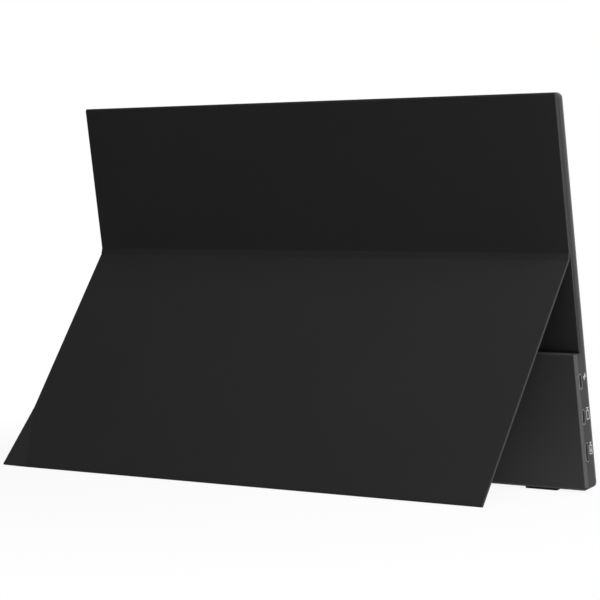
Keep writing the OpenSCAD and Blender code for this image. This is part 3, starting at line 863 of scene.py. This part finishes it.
    def contacts(self) -> None:
        """Lays the gold contacts on both faces of each socket's tongue."""
        tree = self.contact_tree()
        lean = Matrix((self.device.out.cross(self.device.up), self.device.out, self.device.up))
        turn = lean.transposed().to_euler()
        for name, s, count, pitch in (
            ("usb_c_upper", self.sockets[0], 12, 0.5), ("usb_c_lower", self.sockets[1], 12, 0.5),
            ("mini_video_port", self.sockets[2], 10, 0.65),
        ):
            for row, side in (("front", -1), ("back", 1)):
                face = 0.35 if count == 12 else 0.3
                first = self.device.at(
                    -self.side + 3.4, self.socket_t + side * (face + 0.02), s - (count - 1) / 2 * pitch
                )
                holder = bpy.data.objects.new("holder", bpy.data.meshes.new("holder"))
                bpy.context.scene.collection.objects.link(holder)
                lay = holder.modifiers.new("row", "NODES")
                lay.node_group = tree
                values = {
                    "Count": count, "First": first, "Step": self.device.up * pitch * MM,
                    "Pad": Vector((3.2, 0.06, 0.26)) * MM, "Turn": Vector(turn),
                }
                for item in tree.interface.items_tree:
                    if item.in_out == "INPUT" and item.name in values:
                        lay[item.identifier] = values[item.name]
                holder.update_tag()
                graph = bpy.context.evaluated_depsgraph_get()
                mesh = bpy.data.meshes.new_from_object(holder.evaluated_get(graph), depsgraph=graph)
                bpy.data.objects.remove(holder)
                piece = bpy.data.objects.new(f"{name}_contacts_{row}", mesh)
                bpy.context.scene.collection.objects.link(piece)
                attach(piece, "monitor")
                log.info("made %s", piece.name)

    def mark(self, name: str, shapes: Sequence[Sequence[tuple[float, float]]], s: float) -> None:
        """Prints a small mark on the side face beside a socket.

        Args:
            name: the mark's name.
            shapes: closed convex outlines, as points across the side face and up it.
            s: the height of the mark's middle.
        """
        points: list[Vector] = []
        faces: list[tuple[int, ...]] = []
        for outline in shapes:
            n, first = len(outline), len(points)
            for depth in (0.0, 0.03):
                points += [self.device.at(-self.side - depth, t + self.mark_t, s + h) for t, h in outline]
            faces.append(tuple(range(first, first + n)))
            faces.append(tuple(range(first + 2 * n - 1, first + n - 1, -1)))
            faces += [
                (first + i, first + (i + 1) % n, first + n + (i + 1) % n, first + n + i)
                for i in range(n)
            ]
        piece = make_object(name, mesh_of(name, points, faces), [INK])
        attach(piece, "monitor")
        log.info("made %s", name)

    def marks(self) -> None:
        """Prints a bolt, a plain screen and a screen with a plug beside the three sockets."""
        def bar(t0: float, s0: float, t1: float, s1: float) -> list[tuple[float, float]]:
            return [(t0, s0), (t1, s0), (t1, s1), (t0, s1)]

        bolt = [[(-0.3, 0.35), (1.4, 0.35), (0.3, -2.3)], [(-1.4, -0.35), (0.3, -0.35), (-0.3, 2.3)]]
        screen = [
            bar(-1.4, -3.5, -1.1, 1.7), bar(1.1, -3.5, 1.4, 1.7), bar(-1.1, -3.5, 1.1, -3.15),
            bar(-1.1, 1.35, 1.1, 1.7),
        ]
        stand = [bar(-0.2, 1.7, 0.2, 3.0), bar(-1.2, 3.0, 1.2, 3.4)]
        plug = [bar(-0.5, -2.2, 0.5, -0.6), bar(-0.15, -0.6, 0.15, 0.6)]
        self.mark("charge_mark", bolt, self.sockets[0] + 2.1)
        self.mark("screen_mark", [*screen, *stand], self.sockets[1] + 1.4)
        self.mark("video_mark", [*screen, *stand, *plug], self.sockets[2] + 1.7)


@dataclass
class Studio:
    """The white floor and backdrop, the soft lamps and the camera of the photograph."""

    azimuth: float = 218.665
    elevation: float = 1.3495
    distance: float = 1499.964
    target: tuple[float, float, float] = (9.07, -19.794, 105.82)
    roll: float = 0.496
    focal_px: float = 2488.0
    frame_px: float = 600.0

    def seen(self, tree: bpy.types.NodeTree) -> Socket:
        """Gives 1 for rays that show the background: camera, glossy and transmission rays."""
        path = add_node(tree, "ShaderNodeLightPath").outputs
        seen = math_node(tree, "MAXIMUM", path["Is Camera Ray"], path["Is Glossy Ray"])
        return math_node(tree, "MAXIMUM", seen, path["Is Transmission Ray"])

    def world(self, ambient: float) -> None:
        """Lights the scene evenly and shows white behind it.

        Args:
            ambient: the level of the even light on the object.
        """
        world = bpy.data.worlds.new("studio")
        bpy.context.scene.world = world
        world.use_nodes = True
        tree = world.node_tree
        sky = tree.nodes["Background"]
        level = add_node(
            tree, "ShaderNodeMapRange", None,
            {"Value": self.seen(tree), "To Min": ambient, "To Max": 1.0},
        )
        tree.links.new(level.outputs[0], sky.inputs["Strength"])
        sky.inputs["Color"].default_value = (1, 1, 1, 1)

    def floor(self) -> None:
        """Makes the pale floor, which shows white and keeps a faint shadow."""
        bpy.ops.mesh.primitive_circle_add(vertices=64, radius=6, fill_type="NGON")
        floor = bpy.context.object
        floor.name = "floor"
        material = bpy.data.materials.new("floor_paper")
        material.use_nodes = True
        tree = material.node_tree
        tree.nodes.remove(tree.nodes["Principled BSDF"])
        paper = add_node(tree, "ShaderNodeBsdfDiffuse", None, {"Color": linear("#eeeeee")})
        glow = add_node(tree, "ShaderNodeEmission", None, {"Color": (1, 1, 1, 1), "Strength": 1.0})
        # Pure white away from the object, and near it a little of the paper's own shade
        place = add_node(tree, "ShaderNodeTexCoord").outputs["Object"]
        away = add_node(tree, "ShaderNodeVectorMath", {"operation": "LENGTH"}, {0: place})
        near = add_node(
            tree, "ShaderNodeMapRange", {"interpolation_type": "SMOOTHSTEP"},
            {
                "Value": away.outputs["Value"], "From Min": 0.2, "From Max": 0.6,
                "To Min": 0.9, "To Max": 1.0,
            },
        )
        share = math_node(tree, "MULTIPLY", self.seen(tree), near.outputs[0])
        mix = add_node(
            tree, "ShaderNodeMixShader", None, {0: share, 1: paper.outputs[0], 2: glow.outputs[0]}
        )
        tree.links.new(mix.outputs[0], tree.nodes["Material Output"].inputs["Surface"])
        floor.data.materials.append(material)

    def lamp(
        self, name: str, place: tuple[float, float, float], aim: tuple[float, float, float],
        size: float, power: float,
    ) -> None:
        """Adds a square soft box that faces a point."""
        light = bpy.data.lights.new(name, "AREA")
        light.size, light.energy = size, power
        lamp = bpy.data.objects.new(name, light)
        lamp.location = place
        lamp.rotation_euler = (Vector(aim) - Vector(place)).to_track_quat("-Z", "Y").to_euler()
        bpy.context.scene.collection.objects.link(lamp)

    def camera(self) -> None:
        """Puts the camera where the photograph was taken from."""
        a, e, r = (math.radians(v) for v in (self.azimuth, self.elevation, self.roll))
        back = Vector((math.sin(a) * math.cos(e), -math.cos(a) * math.cos(e), math.sin(e)))
        right = Vector((0, 0, 1)).cross(back).normalized()
        up = back.cross(right)
        right, up = right * math.cos(r) + up * math.sin(r), up * math.cos(r) - right * math.sin(r)
        data = bpy.data.cameras.new("photo_camera")
        data.sensor_width = 36.0
        data.lens = self.focal_px / self.frame_px * data.sensor_width
        data.clip_end = 50
        camera = bpy.data.objects.new("photo_camera", data)
        turn = Matrix((right, up, back)).transposed().to_4x4()
        turn.translation = Vector(self.target) * MM + back * self.distance * MM
        camera.matrix_world = turn
        bpy.context.scene.collection.objects.link(camera)
        bpy.context.scene.camera = camera

    def build(self) -> None:
        """Builds the camera, the world, the floor and the lamps."""
        bpy.context.scene.view_settings.view_transform = "Standard"
        self.camera()
        self.world(0.08)
        self.floor()
        middle, front = (-0.05, 0.05, 0.1), (0.0, 0.0, 0.1)
        for name, place, aim, size, power in (
            ("key_box", (-0.74, 0.25, 1.0), middle, 0.5, 10.8),
            ("side_box", (-1.25, -0.05, 0.45), middle, 0.6, 2.4),
            ("top_box", (-0.4, 0.3, 1.4), middle, 0.5, 2.0),
            ("front_box", (0.3, -1.5, 1.0), front, 0.8, 6.0),
            ("camera_box", (-1.02, 1.22, 0.25), (-0.1, 0.0, 0.1), 0.3, 1.0),
        ):
            self.lamp(name, place, aim, size, power)


def device_frame(joints: Sequence[dict[str, Any]], fold: tuple[float, float]) -> Plane:
    """Finds the leaning device's frame from the record's joints.

    Args:
        joints: the record's joints.
        fold: the top fold's place in the device frame, in millimetres.

    Returns:
        The device's frame.
    """
    by_name = {joint["name"]: joint for joint in joints}
    up = Vector(by_name["cover_detach"]["axis"]).normalized()
    out = Vector((0, up.z, -up.y))
    axis = Vector(by_name["cover_flip"]["pos_m"])
    axis.x = -0.2 * MM
    return Plane(axis - (out * fold[0] + up * fold[1]) * MM, out, up)


def main() -> None:
    """Builds the studio, the monitor and the cover in order."""
    logging.basicConfig(level=logging.INFO, format="%(name)s: %(message)s")
    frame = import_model()
    Studio().build()
    device = device_frame(frame["joints"], Cover.top)
    monitor = Monitor(device)
    monitor.dress(frame["nodes"])
    monitor.feet()
    monitor.contacts()
    monitor.marks()
    Cover(device).build()


if __name__ == "__main__":
    main()
